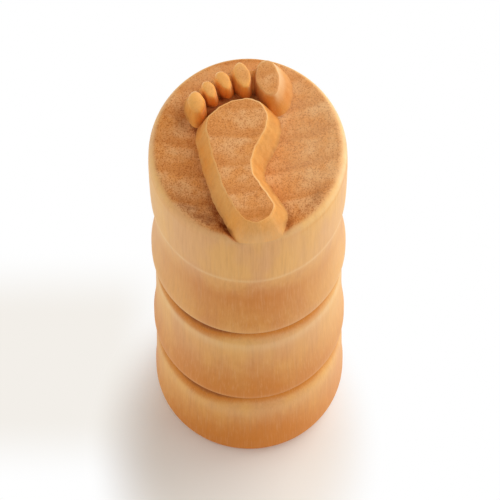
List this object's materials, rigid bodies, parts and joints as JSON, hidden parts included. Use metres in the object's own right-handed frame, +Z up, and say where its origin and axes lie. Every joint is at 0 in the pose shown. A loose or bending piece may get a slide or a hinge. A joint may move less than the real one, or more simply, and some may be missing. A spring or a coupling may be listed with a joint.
{
  "type": "hand stamp",
  "caption": "Turned wooden hand stamp for clay: a beaded round handle with a bare footprint carved in raised relief on its end-grain face.",
  "frame": {"origin": "middle of the flat foot that the stamp stands on, at the middle of the bottom of its box", "axes": "+Z up along the handle's turning axis to the printing face, +Y from the footprint's heel to its toes, +X towards its big toe's side"},
  "size_m": [0.025, 0.025, 0.079],
  "materials": {
    "turned_wood": "pale close-grained hardwood, turned side grain under a thin satin oil",
    "carved_wood": "the same hardwood carved on its end grain, satin walls with a slightly coarser, pored printing face"
  },
  "bodies": {
    "root": {"handle": "turned_wood", "sole": "carved_wood", "big_toe": "carved_wood", "second_toe": "carved_wood", "third_toe": "carved_wood", "fourth_toe": "carved_wood", "little_toe": "carved_wood"}
  },
  "joints": []
}
